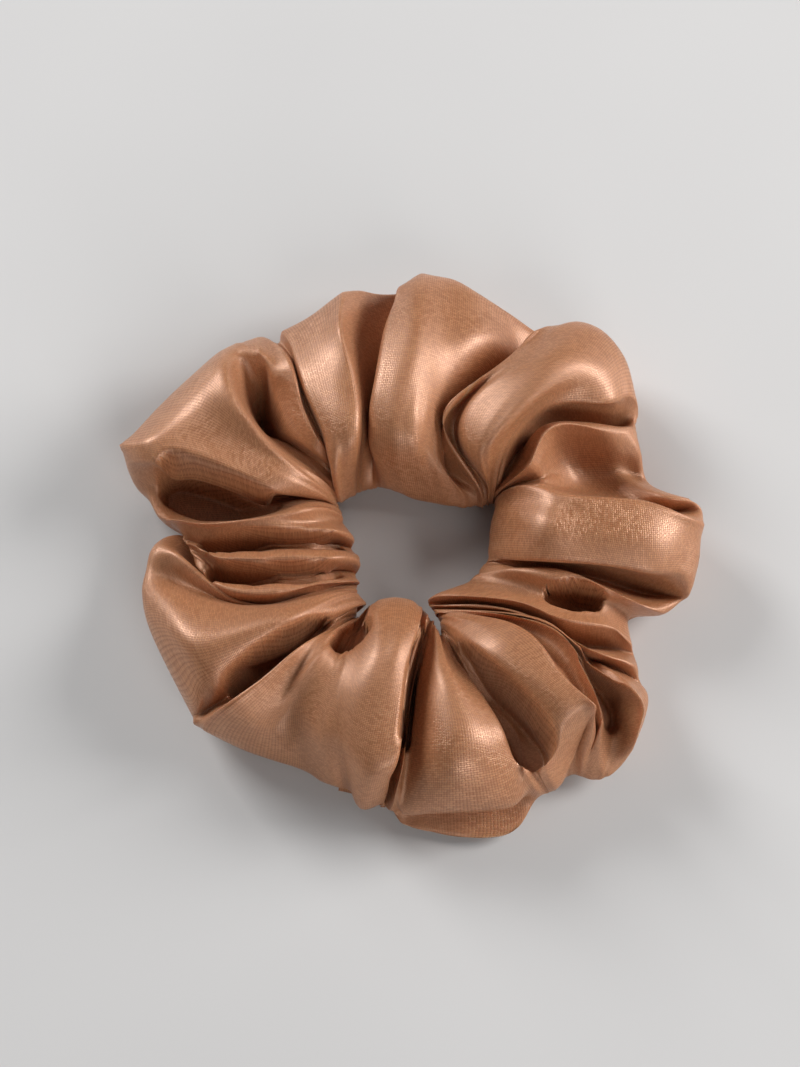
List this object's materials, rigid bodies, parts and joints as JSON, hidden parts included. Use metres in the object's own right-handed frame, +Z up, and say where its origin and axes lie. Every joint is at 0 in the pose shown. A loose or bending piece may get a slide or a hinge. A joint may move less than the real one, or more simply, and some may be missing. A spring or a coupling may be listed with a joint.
{
  "type": "scrunchie",
  "caption": "Gathered satin fabric tube sewn closed over a ring of flat elastic, for holding hair in a tail or bun.",
  "frame": {"origin": "centre of the ring's opening, on the flat surface the scrunchie lies on", "axes": "+Z up, through the opening; -Y is the side with the closing seam, and +Y is the way the back half is pulled when the ring is stretched"},
  "size_m": [0.117, 0.117, 0.026],
  "materials": {
    "satin": "satin",
    "elastic": "matte",
    "thread": "satin",
    "join_thread": "satin"
  },
  "bodies": {
    "front_half": {"satin_cover_front_hemmed_end": "satin", "satin_cover_front_tucked_end": "satin", "elastic_band_front_inner_end": "elastic", "elastic_band_front_outer_end": "elastic", "long_seam_thread_front": "thread", "closing_seam_thread": "thread", "elastic_join_thread": "join_thread"},
    "back_half": {"satin_cover_back": "satin", "elastic_band_back": "elastic", "long_seam_thread_back": "thread"}
  },
  "joints": [
    {"name": "stretch", "type": "slide", "parent": "front_half", "child": "back_half", "axis": [0, 1, 0], "range_m": [0, 0.06], "stiffness_N_per_m": 100}
  ]
}
